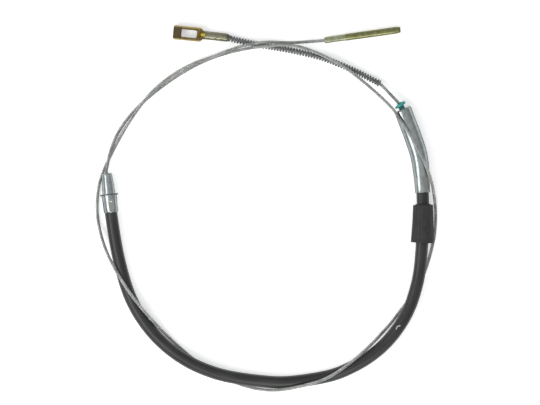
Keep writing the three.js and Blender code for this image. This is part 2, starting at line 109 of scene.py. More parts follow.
class Route:
    # a centripetal spline through the points, walked by its length
    def __init__(self, points, perSpan=48):
        p = np.array(points, float)
        p = np.vstack([2 * p[0] - p[1], p, 2 * p[-1] - p[-2]])
        spots, heads = [], []
        for i in range(1, len(p) - 2):
            a, b, c, d = p[i - 1:i + 3]
            ab, bc, cd = (math.sqrt(np.linalg.norm(v)) for v in (b - a, c - b, d - c))
            leave = ((b - a) / ab - (c - a) / (ab + bc) + (c - b) / bc) * bc
            arrive = ((c - b) / bc - (d - b) / (bc + cd) + (d - c) / cd) * bc
            square, cube = 3 * (c - b) - 2 * leave - arrive, 2 * (b - c) + leave + arrive
            last = i == len(p) - 3
            t = np.linspace(0, 1, perSpan + 1)[:None if last else -1, None]
            spots.append(b + leave * t + square * t ** 2 + cube * t ** 3)
            heads.append(leave + 2 * square * t + 3 * cube * t ** 2)
        self.spots, self.heads = np.vstack(spots), np.vstack(heads)
        steps = np.linalg.norm(np.diff(self.spots, axis=0), axis=1)
        self.stations = np.concatenate([[0], np.cumsum(steps)]) / mm
        self.length = self.stations[-1]

    def at(self, station):
        inside = np.clip(station, 0, self.length)
        spot, head = (np.stack([np.interp(inside, self.stations, a[:, k]) for k in range(3)], 1)
                      for a in (self.spots, self.heads))
        head /= np.linalg.norm(head, axis=1)[:, None]
        return spot + head * ((station - inside) * mm)[:, None], head

    # bends a straight piece: its x goes left, its y up and its z along the cable
    def lay(self, straight, station):
        spot, head = self.at(station + straight[:, 2])
        left = np.cross([0, 0, 1], head)
        left /= np.linalg.norm(left, axis=1)[:, None]
        top = np.cross(head, left)
        return spot + left * straight[:, :1] * mm + top * straight[:, 1:2] * mm


route = Route(routePoints)
print("route", round(route.length, 2), "mm")


def makeMesh(name, points, faces):
    mesh = bpy.data.meshes.new(name)
    mesh.from_pydata([tuple(p) for p in points], [], faces)
    work = bmesh.new()
    work.from_mesh(mesh)
    bmesh.ops.recalc_face_normals(work, faces=work.faces)
    work.to_mesh(mesh)
    work.free()
    return mesh


def makePiece(name, straight, faces, station, finish, sharp=35, extra=None):
    # lays a straight mesh in millimetres on the route and keeps its straight place for the finish
    straight = np.asarray(straight, float)
    mesh = makeMesh(name, route.lay(straight, station), faces)
    mesh.shade_smooth()
    mesh.set_sharp_from_angle(angle=math.radians(sharp))
    place = mesh.attributes.new("straight", "FLOAT_VECTOR", "POINT")
    place.data.foreach_set("vector", straight.astype(np.float32).ravel())
    for key, values in (extra or {}).items():
        mark = mesh.attributes.new(key, "FLOAT", "POINT")
        mark.data.foreach_set("value", np.asarray(values, np.float32))
    mesh.materials.append(finish)
    piece = bpy.data.objects.new(name, mesh)
    bpy.context.scene.collection.objects.link(piece)
    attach(piece, "root")
    return piece


def softened(profile, closed=True, arc=4):
    # rounds each corner of a profile of (radius, z, rounding) points
    corners = [(*p, 0)[:3] for p in profile]
    points = []
    for i, (r, z, rounding) in enumerate(corners):
        here = np.array([r, z], float)
        if rounding == 0 or (not closed and i in (0, len(corners) - 1)):
            points.append(here)
            continue
        before, after = (np.array(corners[k % len(corners)][:2], float) for k in (i - 1, i + 1))
        reach = min(rounding, *(0.49 * np.linalg.norm(v - here) for v in (before, after)))
        a = here + (before - here) / np.linalg.norm(before - here) * reach
        b = here + (after - here) / np.linalg.norm(after - here) * reach
        for t in np.linspace(0, 1, arc + 1):
            points.append((1 - t) ** 2 * a + 2 * t * (1 - t) * here + t ** 2 * b)
    return points


def ringed(profile, spacing, closed=True):
    # adds points along the long runs of a profile, so that they can bend
    points = []
    last = len(profile) if closed else len(profile) - 1
    for i in range(last):
        a, b = np.array(profile[i], float), np.array(profile[(i + 1) % len(profile)], float)
        count = max(1, round(abs(b[1] - a[1]) / spacing))
        points += [a + (b - a) * k / count for k in range(count)]
    if not closed:
        points.append(np.array(profile[-1], float))
    return points


def bandFaces(rings, sides, closed):
    # the faces between rings of points, with the last ring joined to the first when closed
    faces = []
    for i in range(rings if closed else rings - 1):
        a, b = i * sides, (i + 1) % rings * sides
        faces += [(a + k, a + (k + 1) % sides, b + (k + 1) % sides, b + k) for k in range(sides)]
    return faces


def tubeFaces(rings, sides):
    # the skin of a swept piece, with a cap on both ends
    caps = [tuple(range(sides)), tuple(range((rings - 1) * sides, rings * sides))]
    return bandFaces(rings, sides, closed=False) + caps


def revolve(profile, sides, closed=True, shaped=None):
    # turns a profile round z; shaped(angle, radius, z) may press flats or cut a thread into it
    profile = np.array(profile, float)
    turn = np.arange(sides) * 2 * math.pi / sides
    angle, radius = np.meshgrid(turn, profile[:, 0])
    z = np.repeat(profile[:, 1:], sides, axis=1)
    if shaped:
        radius = shaped(angle, radius, z)
    points = np.stack([radius * np.cos(angle), radius * np.sin(angle), z], -1).reshape(-1, 3)
    rings = len(profile)
    faces = bandFaces(rings, sides, closed)
    if not closed:
        for ring in (0, rings - 1):
            points = np.vstack([points, [0, 0, profile[ring, 1]]])
            hub, a = len(points) - 1, ring * sides
            faces += [(a + k, a + (k + 1) % sides, hub) for k in range(sides)]
    return points, faces


def pressedRevolve(profile, sides, pressed):
    # also tells how far each point was pressed in, as a share of the full mark
    plain, faces = revolve(profile, sides)
    points, _ = revolve(profile, sides, shaped=pressed)
    depth = np.hypot(*plain.T[:2]) - np.hypot(*points.T[:2])
    return points, faces, smoothStep(0.02, 0.2, depth)


def smoothStep(low, high, x):
    t = np.clip((x - low) / (high - low), 0, 1)
    return t * t * (3 - 2 * t)


def flatRadius(angle, distance, count, turn):
    # radius of a polygon whose sides are at that distance from the axis
    part = 2 * math.pi / count
    off = (angle - math.radians(turn) + part / 2) % part - part / 2
    return distance / np.cos(off)


class Wire:
    # a node's output that takes Python's operators
    def __init__(self, nodes, socket):
        self.nodes, self.socket = nodes, socket

    def maths(self, operation, first, second=0.0):
        return self.nodes.add("ShaderNodeMath", {"operation": operation}, {0: first, 1: second})

    def __add__(self, other):
        return self.maths("ADD", self, other)

    def __sub__(self, other):
        return self.maths("SUBTRACT", self, other)

    def __rsub__(self, other):
        return self.maths("SUBTRACT", other, self)

    def __mul__(self, other):
        return self.maths("MULTIPLY", self, other)

    def __abs__(self):
        return self.maths("ABSOLUTE", self)

    __radd__ = __add__
    __rmul__ = __mul__


class Nodes:
    def __init__(self, tree):
        self.tree = tree

    def add(self, kind, settings=None, values=None, output=0):
        node = self.tree.nodes.new(kind)
        for key, value in (settings or {}).items():
            if key == "stops":
                for element, (position, colour) in zip(node.color_ramp.elements, value):
                    element.position, element.color = position, colour
            else:
                setattr(node, key, value)
        for key, value in (values or {}).items():
            self.feed(node.inputs[key], value)
        return Wire(self, node.outputs[output])

    def feed(self, socket, value):
        if isinstance(value, Wire):
            self.tree.links.new(value.socket, socket)
        else:
            socket.default_value = value

    def axisParts(self, where):
        parts = self.add("ShaderNodeSeparateXYZ", values={0: where})
        return [Wire(self, socket) for socket in parts.socket.node.outputs]

    def noise(self, where, scale, detail=3.0, rough=0.55):
        return self.add("ShaderNodeTexNoise", values={
            "Vector": where, "Scale": scale, "Detail": detail, "Roughness": rough})

    def between(self, value, low, high):
        # 0 below low, 1 above high, smooth between
        return self.add("ShaderNodeMapRange", {"interpolation_type": "SMOOTHSTEP"}, {
            "Value": value, "From Min": low, "From Max": high, "To Min": 0.0, "To Max": 1.0})

    def mix(self, mask, first, second):
        return self.add("ShaderNodeMix", {"data_type": "RGBA"}, {0: mask, 6: first, 7: second},
                        output=2)


class Finish(Nodes):
    def __init__(self, name, **constants):
        self.material = bpy.data.materials.new(name)
        self.material.use_nodes = True
        super().__init__(self.material.node_tree)
        self.shader = self.tree.nodes["Principled BSDF"]
        for key, value in constants.items():
            self.shader.inputs[key.replace("_", " ")].default_value = value

    def place(self, stretch=(1, 1, 1)):
        # the straight place of a point in millimetres
        where = self.add("ShaderNodeAttribute", {"attribute_name": "straight"}, output="Vector")
        return self.stretched(where, stretch)

    def stretched(self, where, stretch):
        return self.add("ShaderNodeVectorMath", {"operation": "MULTIPLY"}, {0: where, 1: stretch})

    def fromAxis(self):
        flat = self.place((1, 1, 0))
        return self.add("ShaderNodeVectorMath", {"operation": "LENGTH"}, {0: flat}, output="Value")

    def value(self, name):
        return self.add("ShaderNodeAttribute", {"attribute_name": name}, output="Fac")

    def colour(self, wire):
        self.feed(self.shader.inputs["Base Color"], wire)

    def roughness(self, wire):
        self.feed(self.shader.inputs["Roughness"], wire)

    def bump(self, height, distance, strength=1.0):
        # distance is the height of a full step, in metres
        bumped = self.add("ShaderNodeBump", values={
            "Height": height, "Distance": distance, "Strength": strength})
        self.feed(self.shader.inputs["Normal"], bumped)


def tint(code):
    # an sRGB hex code as a linear colour
    parts = [int(code[k:k + 2], 16) / 255 for k in (0, 2, 4)]
    return (*(c / 12.92 if c <= 0.04045 else ((c + 0.055) / 1.055) ** 2.4 for c in parts), 1)


darkRim = (0.08, 0.08, 0.08, 1)  # dulls a metal's reflection where it is seen at a slant


zincLook = {
    # the flange colour is painted shade for the thin flange
    "dark": "99a1a2", "light": "aab0ae", "grain": "7f8586", "flange": "5f6260",
    "pressMark": "afa99d",
}


def makeZinc(name, flangeRadius):
    # painted shade: the thin flange, which lies beyond that radius, is painted darker
    f = Finish(name, Metallic=1.0, Specular_Tint=darkRim)
    where = f.place()
    cloud = f.noise(where, 0.22, 3)
    grain = f.noise(where, 2.6, 4)
    turned = f.noise(f.place((0.12, 0.12, 6)), 1.0, 3)
    base = f.mix(f.between(cloud, 0.35, 0.68), tint(zincLook["dark"]), tint(zincLook["light"]))
    # painted shade on the flange
    flange = f.between(f.fromAxis(), flangeRadius, flangeRadius + 0.2)
    base = f.mix(flange * 0.8, base, tint(zincLook["flange"]))
    base = f.mix(f.value("pressed") * 0.6, base, tint(zincLook["pressMark"]))
    f.colour(f.mix(f.between(grain, 0.58, 0.85) * 0.3, base, tint(zincLook["grain"])))
    f.roughness(0.2 + cloud * 0.1 + turned * 0.08)
    f.bump(turned * 0.6 + grain * 0.4, 0.00003, 0.3)
    return f.material


eyeLook = {
    "shankDark": "878770", "shankLight": "9d9c86", "shankMouthShade": "4e4d3a", "loopDark": "6d5a38",
    "loopLight": "8b7a48", "loopBloom": "84806a", "endWeb": "5d5040", "rimHighlight": "d8c388",
    "recess": "e6cf58", "grain": "453820",
}


def makeEyeChromate():
    # grey-olive on the shank, browner on the loop and bright yellow in the recess
    f = Finish("yellowChromate", Metallic=1.0, Specular_Tint=darkRim)
    where = f.place()
    x, y, z = f.axisParts(where)
    cloud = f.noise(where, 0.3, 3)
    bloom = f.noise(f.place((1, 1, 0.5)), 0.7, 4)
    grain = f.noise(where, 3.5, 4)
    shank = f.mix(f.between(cloud, 0.34, 0.66), tint(eyeLook["shankDark"]), tint(eyeLook["shankLight"]))
    loop = f.mix(f.between(cloud, 0.34, 0.66), tint(eyeLook["loopDark"]), tint(eyeLook["loopLight"]))
    loop = f.mix(f.between(bloom, 0.5, 0.72) * 0.7, loop, tint(eyeLook["loopBloom"]))
    # painted shade: the flat end web of the loop is painted darker than its bars
    loop = f.mix(f.between(z, 34.4, 35.8) * 0.8, loop, tint(eyeLook["endWeb"]))
    # painted highlight: a light gold line along the outer edges of the loop's faces
    rimHighlight = f.between(abs(x), 4.0, 4.6) * f.between(abs(y), 2.4, 2.9)
    loop = f.mix(rimHighlight * 0.7, loop, tint(eyeLook["rimHighlight"]))
    # painted shade: the tapered mouth of the shank is painted darker
    shank = f.mix((1 - f.between(z, 1.0, 2.8)) * 0.6, shank, tint(eyeLook["shankMouthShade"]))
    base = f.mix(f.between(z, 15.5, 19.5), shank, loop)
    base = f.mix(f.value("recess"), base, tint(eyeLook["recess"]))
    f.colour(f.mix(f.between(grain, 0.56, 0.8) * 0.6, base, tint(eyeLook["grain"])))
    f.roughness(0.2 + cloud * 0.2 + grain * 0.12)
    f.bump(grain * 0.6 + bloom * 0.4, 0.0001, 0.5)
    return f.material


crimpLook = {
    "dark": "96987c", "light": "b2b498", "grain": "6d6a4c",
}


def makeCrimpChromate():
    f = Finish("paleChromate", Metallic=1.0, Specular_Tint=darkRim)
    where = f.place()
    cloud = f.noise(where, 0.35, 3)
    grain = f.noise(where, 3.2, 4)
    base = f.mix(f.between(cloud, 0.36, 0.66), tint(crimpLook["dark"]), tint(crimpLook["light"]))
    f.colour(f.mix(f.between(grain, 0.55, 0.8) * 0.55, base, tint(crimpLook["grain"])))
    f.roughness(0.22 + cloud * 0.16 + grain * 0.1)
    f.bump(grain * 0.7 + cloud * 0.3, 0.00009, 0.5)
    return f.material


threadLook = {
    "dark": "8b8c63", "light": "a4a478", "root": "74734c", "grain": "4f4a28",
}


def makeThreadChromate():
    # olive plating; painted shade darkens the thread roots below the crests
    f = Finish("threadChromate", Metallic=1.0, Specular_Tint=darkRim)
    where = f.place()
    crest = f.between(f.fromAxis(), 2.1, 2.55)
    cloud = f.noise(where, 0.3, 3)
    grain = f.noise(where, 4.0, 4)
    base = f.mix(f.between(cloud, 0.34, 0.66), tint(threadLook["dark"]), tint(threadLook["light"]))
    # painted shade: the thread roots are painted darker than the crests
    base = f.mix(crest, tint(threadLook["root"]), base)
    f.colour(f.mix(f.between(grain, 0.6, 0.8) * 0.5, base, tint(threadLook["grain"])))
    f.roughness(0.2 + cloud * 0.14 + grain * 0.06)
    f.bump(grain, 0.00002, 0.2)
    return f.material


ropeLook = {
    "light": "c3c5c1", "dark": "a2a4a1", "grain": "87847a", "grooveShade": "45453f",
}


def makeRopeSteel():
    f = Finish("strandedSteel", Metallic=1.0, Specular_Tint=darkRim)
    wires = f.add("ShaderNodeMath", {"operation": "SINE"}, {0: f.value("wires")})
    where = f.place()
    cloud = f.noise(where, 0.12, 3)
    grain = f.noise(where, 3.0, 3)
    base = f.mix(f.between(cloud, 0.35, 0.7), tint(ropeLook["light"]), tint(ropeLook["dark"]))
    base = f.mix(f.between(grain, 0.55, 0.8) * 0.5, base, tint(ropeLook["grain"]))
    # painted shade: the grooves between the strands are painted darker
    f.colour(f.mix(f.between(f.value("crown"), 0.0, 0.5), tint(ropeLook["grooveShade"]), base))
    f.roughness(0.28 + cloud * 0.14 + grain * 0.1)
    f.bump(wires * 0.5 + 0.5, 0.00009, 0.8)
    return f.material


sheathLook = {
    "dark": "1d1e1c", "light": "2a2b29", "drawn": "3b3c39", "dust": "55554f",
    "paleMark": "c9c9c4", "paleMarkPlace": (98.6, -88.6),  # of the pale mark, in mm
}


def makeSheathPlastic():
    f = Finish("blackSheath", Metallic=0.0, Specular_IOR_Level=0.5)
    where = f.place()
    drawn = f.noise(f.place((1, 1, 0.02)), 1.3, 4)
    cloud = f.noise(f.place((1, 1, 0.25)), 0.18, 3)
    dust = f.noise(where, 2.2, 5, 0.7)
    base = f.mix(f.between(cloud, 0.35, 0.7), tint(sheathLook["dark"]), tint(sheathLook["light"]))
    base = f.mix(f.between(drawn, 0.56, 0.75) * 0.35, base, tint(sheathLook["drawn"]))
    base = f.mix(f.between(dust, 0.62, 0.78) * 0.3, base, tint(sheathLook["dust"]))
    # a pale mark in the shape of a chevron
    spot = f.add("ShaderNodeTexCoord", output="Object")
    x, y, _ = f.axisParts(f.stretched(spot, (1000, 1000, 1000)))
    left, up = (part - centre for part, centre in zip((x, y), sheathLook["paleMarkPlace"]))
    along = left * 0.76 + up * 0.65
    across = left * -0.65 + up * 0.76
    ragged = f.noise(where, 1.5, 5, 0.7)
    line = abs(across + abs(along) * 0.45 - 0.5)
    mark = (1 - f.between(line + ragged * 0.9, 0.55, 1.15)) * (1 - f.between(abs(along), 1.6, 2.6))
    f.colour(f.mix(mark * 0.85, base, tint(sheathLook["paleMark"])))
    f.roughness(0.3 + cloud * 0.16 + drawn * 0.12 + mark * 0.25)
    f.bump(drawn * 0.7 + dust * 0.3, 0.00006, 0.45)
    return f.material


rubberLook = {
    "dark": "2a2b29", "light": "353634", "streak": "454643", "dust": "54544f",
}


def makeRubber():
    f = Finish("mouldedRubber", Metallic=0.0, Specular_IOR_Level=0.35)
    where = f.place()
    cloud = f.noise(where, 0.2, 3)
    skin = f.noise(where, 3.2, 5, 0.65)
    streak = f.noise(f.place((1, 1, 0.04)), 0.7, 3)
    base = f.mix(f.between(cloud, 0.35, 0.7), tint(rubberLook["dark"]), tint(rubberLook["light"]))
    base = f.mix(f.between(streak, 0.5, 0.7) * 0.6, base, tint(rubberLook["streak"]))
    f.colour(f.mix(f.between(skin, 0.58, 0.8) * 0.35, base, tint(rubberLook["dust"])))
    f.roughness(0.58 + cloud * 0.14 + skin * 0.14)
    f.bump(skin, 0.0001, 0.5)
    return f.material


springLook = {
    "dark": "7c7e80", "light": "9a9c9c", "worn": "77736a",
}


def makeSpringSteel():
    f = Finish("darkSpringSteel", Metallic=1.0, Specular_Tint=darkRim)
    where = f.place()
    drawn = f.noise(where, 1.1, 4)
    worn = f.noise(where, 0.25, 3)
    base = f.mix(f.between(drawn, 0.35, 0.7), tint(springLook["dark"]), tint(springLook["light"]))
    f.colour(f.mix(f.between(worn, 0.5, 0.7) * 0.6, base, tint(springLook["worn"])))
    f.roughness(0.34 + drawn * 0.2)
    f.bump(drawn, 0.00004, 0.5)
    return f.material


tealLook = {
    # the neck colour is painted shade for the neck under the disc
    "dark": "2a978a", "light": "45b0a2", "neck": "1c727a", "grain": "1b6f65",
}


def makeTeal():
    f = Finish("tealPlastic", Metallic=0.0, Specular_IOR_Level=0.5)
    where = f.place()
    cloud = f.noise(where, 0.6, 3)
    skin = f.noise(where, 5.0, 3)
    base = f.mix(f.between(cloud, 0.35, 0.7), tint(tealLook["dark"]), tint(tealLook["light"]))
    # painted shade: the neck, which lies under the disc, is painted darker
    base = f.mix(1 - f.between(f.fromAxis(), 2.4, 2.9), base, tint(tealLook["neck"]))
    f.colour(f.mix(f.between(skin, 0.58, 0.8) * 0.35, base, tint(tealLook["grain"])))
    f.roughness(0.3 + cloud * 0.16 + skin * 0.06)
    f.bump(skin, 0.00005, 0.4)
    return f.material


def makeInnerFinish(name, dark, light, metallic, spacing):
    # for the two inner layers of the conduit, which carry no straight place
    f = Finish(name, Metallic=metallic)
    spot = f.add("ShaderNodeTexCoord", output="Object")
    cloud = f.noise(spot, 120.0, 3)
    grain = f.noise(spot, spacing, 3)
    f.colour(f.mix(f.between(cloud, 0.35, 0.7), tint(dark), tint(light)))
    f.roughness(0.35 + grain * 0.25)
    f.bump(grain, 0.00006, 0.5)
    return f.material


tubeZinc = makeZinc("zincPlate", 8)
ferruleZinc = makeZinc("zincPlateFlanged", 6)
eyeChromate = makeEyeChromate()
crimpChromate = makeCrimpChromate()
threadChromate = makeThreadChromate()
ropeSteel = makeRopeSteel()
sheathPlastic = makeSheathPlastic()
rubber = makeRubber()
springSteel = makeSpringSteel()
teal = makeTeal()
print("finishes made")


rope = {
    "start": 42.3, "end": 1727.8, "diameter": 2.4,
    "strands": 6, "lay": 15.6, "strandLay": 6.6, "ringSpacing": 1.2,
    "across": (-110, -76, -40, 0, 40, 76, 110),  # degrees round each strand
}


def makeRope():
    strandRadius = rope["diameter"] / 6
    length = rope["end"] - rope["start"]
    z = np.linspace(0, length, round(length / rope["ringSpacing"]) + 1)
    across = np.radians(rope["across"])
    outward = 2 * strandRadius + strandRadius * np.cos(across)
    sideways = strandRadius * np.sin(across)
    radius, lean = np.hypot(outward, sideways), np.arctan2(sideways, outward)
    strand = 2 * math.pi / rope["strands"]
    angle = np.concatenate([lean + k * strand for k in range(rope["strands"])])
    reach = np.tile(radius, rope["strands"])
    turn = angle[None] + 2 * math.pi * z[:, None] / rope["lay"]
    height = np.broadcast_to(z[:, None], turn.shape)
    straight = np.stack([reach * np.cos(turn), reach * np.sin(turn), height], -1)
    crown = np.broadcast_to((reach - reach.min()) / (reach.max() - reach.min()), turn.shape)
    wires = 6 * (np.tile(across, rope["strands"])[None] + 2 * math.pi * z[:, None] / rope["strandLay"])
    piece = makePiece("stranded_wire_rope", straight.reshape(-1, 3), tubeFaces(len(z), len(angle)),
                      rope["start"], ropeSteel, sharp=70,
                      extra={"crown": crown.ravel(), "wires": wires.ravel()})
    line = route.at(rope["start"] + z)[0]
    return piece, line


wireRope, ropeLine = makeRope()
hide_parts("inner_wire_rope")
print("rope", len(wireRope.data.polygons), "faces")


rod = {
    "length": 57.5, "thread": 5.2, "root": 4.8, "pitch": 0.9, "tip": 3.9, "tipLength": 3.6,
    "crimpLength": 17, "acrossFlats": 4.3, "socket": 15.5, "bore": 1.45,
    "hexCorner": 1.1, "collar": 1.04, "blank": 1.16,  # as shares of the flats' distance
}


def makeRod():
    crimpStart = rod["length"] - rod["crimpLength"]
    threadEnd = crimpStart + 1
    flat = rod["acrossFlats"] / 2

    def thread(angle, radius, z):
        tooth = np.abs(((z / rod["pitch"] - angle / (2 * math.pi)) % 1) * 2 - 1)  # 1 at the root
        depth = (rod["thread"] - rod["root"]) / 2
        cone = np.interp(z, [0, rod["tipLength"]], [rod["tip"] / 2, rod["thread"] / 2 + 0.05])
        fade = smoothStep(0.3, 1.6, z) * (1 - smoothStep(crimpStart - 0.9, crimpStart, z))
        cut = rod["thread"] / 2 - depth * smoothStep(0.55, 0.95, tooth) * fade
        return np.where(radius > 0.01, np.minimum(np.minimum(cut, cone), radius), radius)

    tip, full = rod["tip"] / 2, rod["thread"] / 2
    run = [(tip - 0.25, 0), (tip, 0.25), (full, 0.26), (full, threadEnd)]
    rings = ringed(run, rod["pitch"] / 12, closed=False)
    points, faces = revolve(rings, 40, closed=False, shaped=thread)
    threaded = makePiece("rod_thread", points, faces, 0, threadChromate, sharp=30)

    def hexagon(angle, radius, z):
        pressed = np.minimum(flatRadius(angle, flat, 6, 30), flat * rod["hexCorner"])
        opens = smoothStep(crimpStart + 0.3, crimpStart + 1.2, z)
        closes = smoothStep(rod["length"] - 2.2, rod["length"] - 1.2, z)
        body = opens * (1 - closes)
        collar = np.minimum(radius, flat * rod["collar"])
        skin = np.minimum(radius, pressed * body + collar * (1 - body))
        return np.where(radius > rod["bore"] + 0.3, skin, radius)

    wide = flat * rod["blank"]
    profile = softened([
        (0.8, crimpStart + 0.05), (full + 0.1, crimpStart, 0.2), (wide, crimpStart + 0.7, 0.5),
        (wide, rod["length"] - 1.2, 0.8), (flat - 0.35, rod["length"], 0.4),
        (rod["bore"] + 0.25, rod["length"], 0.2), (rod["bore"], rod["length"] - 0.6),
        (rod["bore"], rod["length"] - rod["socket"]), (0.8, rod["length"] - rod["socket"]),
    ], closed=False)
    points, faces = revolve(ringed(profile, 1.2, closed=False), 72, closed=False, shaped=hexagon)
    crimp = makePiece("rod_hex_crimp", points, faces, 0, crimpChromate, sharp=50)
    return threaded, crimp


rodThread, rodCrimp = makeRod()
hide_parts("threaded_rod_end")
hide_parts("threaded_rod_end")
print("rod made")


conduit = {"start": 1080.7, "length": 434, "radius": 4.7, "bore": 3.6, "ringSpacing": 2.5, "sides": 36}


def makeConduit():
    def slightlyWavy(angle, radius, z):
        # the wound armour under it shows as a faint spiral
        ripple = 0.012 * np.sin(2 * math.pi * z / 8.5 + angle)
        return np.where(radius > 4, radius - 0.02 + ripple, radius)

    profile = [(conduit["radius"], 0), (conduit["radius"], conduit["length"]),
               (conduit["bore"], conduit["length"]), (conduit["bore"], 0)]
    rings = ringed(profile, conduit["ringSpacing"])
    points, faces = revolve(rings, conduit["sides"], shaped=slightlyWavy)
    piece = makePiece("sheathed_conduit", points, faces, conduit["start"], sheathPlastic)
    line = route.at(conduit["start"] + np.linspace(0, conduit["length"], 120))[0]
    return piece, line


sheath, sheathLine = makeConduit()
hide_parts("conduit_jacket")
for node, made in (
    ("conduit_armour", makeInnerFinish("woundArmour", "6f7273", "9a9d9c", 1.0, 900.0)),
    ("conduit_liner", makeInnerFinish("naturalPlastic", "cfcfc6", "e4e3da", 0.0, 400.0)),
):
    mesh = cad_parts[node].data
    mesh.materials.clear()
    mesh.materials.append(made)
print("conduit made")


ferrule = {
    "station": 1063.8, "nose": 15.5, "mouth": 7.8, "noseEnd": 9.8,
    "flange": 13.4, "flangeThickness": 1.1, "barrel": 12.8, "barrelDiameter": 11.5, "barrelTaper": 0.3,
    "flatLength": 7.9, "flatDepth": 0.42, "flatTurn": -11,
    "guideBore": 1.7, "seat": 4.95,
}


def makeFerrule():
    shoulder = ferrule["nose"] + ferrule["flangeThickness"]
    end = shoulder + ferrule["barrel"]
    mouth, noseEnd = ferrule["mouth"] / 2, ferrule["noseEnd"] / 2
    flange, barrel = ferrule["flange"] / 2, ferrule["barrelDiameter"] / 2
    late = barrel - ferrule["barrelTaper"]

    def pressed(angle, radius, z):
        near = smoothStep(end - ferrule["flatLength"] - 0.5, end - ferrule["flatLength"] + 0.5, z)
        flat = flatRadius(angle, barrel - 0.15 - ferrule["flatDepth"], 4, ferrule["flatTurn"])
        flats = np.minimum(radius, flat)
        outside = (radius > ferrule["seat"] + 0.25) & (z > shoulder + 0.5)
        return np.where(outside, radius * (1 - near) + flats * near, radius)

    profile = softened([
        (mouth - 1.1, 0, 0.2), (mouth - 0.5, 0, 0.2), (mouth, 0.6, 0.4),
        (noseEnd, ferrule["nose"], 0.15),
        (flange, ferrule["nose"], 0.25), (flange, shoulder, 0.25), (barrel, shoulder, 0.3),
        (late, end - 1, 1.2), (late - 0.4, end, 0.5), (ferrule["seat"], end, 0.15),
        (ferrule["seat"], shoulder), (ferrule["guideBore"], shoulder), (ferrule["guideBore"], 3, 1),
    ])
    points, faces, depth = pressedRevolve(ringed(profile, 0.4), 96, pressed)
    return makePiece("front_metal_ferrule", points, faces, ferrule["station"], ferruleZinc,
                     sharp=50, extra={"pressed": depth})


frontFerrule = makeFerrule()
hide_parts("front_ferrule")
print("ferrule made")


sleeve = {
    "station": 1465.1, "length": 28.4, "front": 17.2, "rear": 15, "bore": 4.95,
    "lipWall": 0.75, "lip": 0.7,
}


def makeSleeve():
    front, rear, bore = sleeve["front"] / 2, sleeve["rear"] / 2, sleeve["bore"]
    lip = bore + sleeve["lipWall"]
    shoulder, end = sleeve["length"], sleeve["length"] + sleeve["lip"]
    profile = softened([
        (bore, 0, 0.2), (front, 0, 0.5), (rear, shoulder, 0.5), (lip, shoulder, 0.3),
        (lip, end, 0.4), (bore, end, 0.2),
    ])
    points, faces = revolve(ringed(profile, 1.5), 64)
    return makePiece("moulded_sleeve", points, faces, sleeve["station"], rubber,
                     sharp=60)


rubberSleeve = makeSleeve()
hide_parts("rubber_sleeve")


tube = {
    "station": 1502.7, "length": 65, "diameter": 13.2, "wall": 0.9, "endWall": 1.2, "shoulder": 1.8,
    "taper": 34, "seat": 12, "jacketSeat": 4.95, "flatLength": 10, "flatDepth": 0.5, "flatTurn": 28,
}


def makeTube():
    radius = tube["diameter"] / 2
    seat = tube["jacketSeat"] + tube["wall"] * 0.6
    middle, middleZ = seat + (radius - seat) * 0.36, tube["seat"] * 0.8
    bore = radius - tube["wall"]
    length, inner = tube["length"], tube["length"] - tube["endWall"]

    def pressed(angle, r, z):
        ends = smoothStep(tube["flatLength"] + 0.9, tube["flatLength"] + 2.0, z)
        near = smoothStep(1.0, 1.9, z) * (1 - ends)
        flat = flatRadius(angle, middle - tube["flatDepth"], 4, tube["flatTurn"] + 90)
        flats = np.minimum(r, flat)
        return np.where(r > tube["jacketSeat"] + 0.25, r * (1 - near) + flats * near, r)

    profile = softened([
        (tube["jacketSeat"], 0, 0.15), (seat + 0.15, 0, 0.3), (seat + 0.15, 0.8, 0.2), (seat, 1.3, 0.3),
        (middle, middleZ, 2.5), (middle + (radius - middle) * 0.7, (middleZ + tube["taper"]) / 2, 6),
        (radius, tube["taper"], 6), (radius, length, 2.4), (2.6, length, 0.3), (2.6, inner, 0.2),
        (bore, inner, 1.4), (bore, tube["taper"]), (tube["jacketSeat"], tube["seat"] + 0.3),
    ], arc=6)
    points, faces, depth = pressedRevolve(ringed(profile, 0.5), 96, pressed)
    return makePiece("bent_guide_tube", points, faces, tube["station"], tubeZinc,
                     sharp=50, extra={"pressed": depth})


guideTube = makeTube()
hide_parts("rear_guide_tube")

seal = {
    "neck": 4.6, "bead": 5.6, "disc": 8.8, "thickness": 1.9, "offset": 2.4, "bore": 1.7,
    "beadStart": -3.3, "beadEnd": -1.5, "lipWall": 0.36, "lip": 0.7,
}


def makeSeal():
    neck, bead, disc, bore = seal["neck"] / 2, seal["bead"] / 2, seal["disc"] / 2, seal["bore"]
    inner, outer, offset = seal["beadStart"], seal["beadEnd"], seal["offset"]
    end = offset + seal["thickness"]
    lip, lipEnd = bore + seal["lipWall"], end + seal["lip"]
    profile = softened([
        (bore, inner, 0.2), (bead - 0.4, inner, 0.3), (bead, -2.1, 0.3), (bead, outer, 0.2),
        (neck, outer, 0.2), (neck, offset, 0.3), (disc, offset, 0.4), (disc, end, 0.5),
        (neck, end, 0.2), (lip, lipEnd, 0.15), (bore, lipEnd, 0.1),
    ])
    points, faces = revolve(profile, 56)
    return makePiece("teal_seal", points, faces, tube["station"] + tube["length"], teal,
                     sharp=50)


rearSeal = makeSeal()
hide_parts("rear_seal")
print("tube, sleeve and seal made")


spring = {
    "station": 1593.8, "length": 119, "diameter": 5, "wire": 1.15, "turns": 56,
    "closedTurns": 0.9, "closedPitch": 0.95, "openPitch": 2.17,
    "steps": 20, "sides": 10,  # of the mesh, for each turn and round the wire
}


